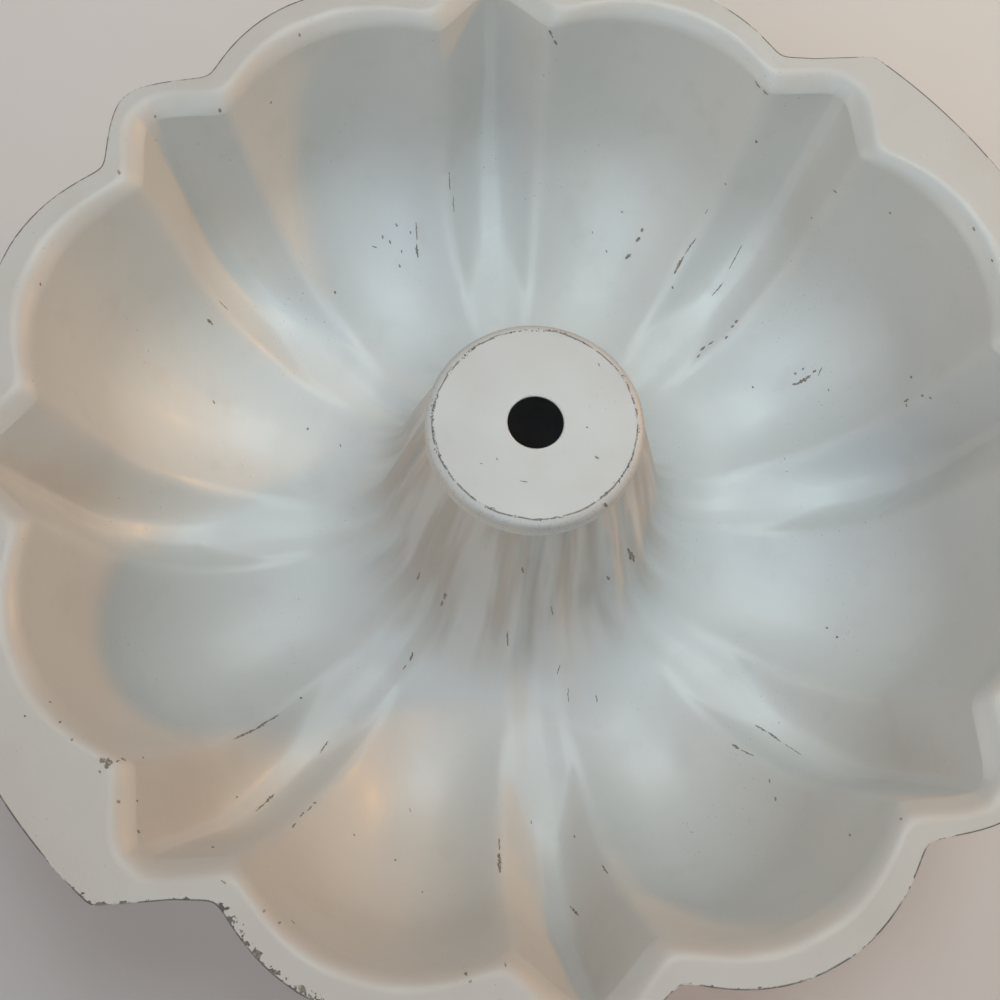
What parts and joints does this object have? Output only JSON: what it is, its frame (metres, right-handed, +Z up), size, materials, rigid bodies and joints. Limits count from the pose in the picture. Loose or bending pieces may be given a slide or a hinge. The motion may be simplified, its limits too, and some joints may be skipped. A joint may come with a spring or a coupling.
{
  "type": "fluted tube pan",
  "caption": "Round fluted cake mould with alternating round and pointed flutes, a hollow centre tube and two flat grip tabs on its rim.",
  "frame": {"origin": "on the centre tube's axis, in the plane that the pan stands on", "axes": "+Z up out of the pan's mouth along the tube's axis, +X towards one of the two grip tabs"},
  "size_m": [0.2794, 0.2648, 0.0718],
  "materials": {
    "bowl_coat": "pale grey semi-gloss non-stick coat on thin sheet steel, chipped and scratched",
    "tube_coat": "pale grey semi-gloss non-stick coat on thin sheet steel, worn on the ridges",
    "cap_coat": "pale grey semi-gloss non-stick coat on thin sheet steel, worn round the top edge"
  },
  "bodies": {
    "root": {"fluted_bowl": "bowl_coat", "centre_tube": "tube_coat", "tube_cap": "cap_coat"}
  },
  "joints": []
}
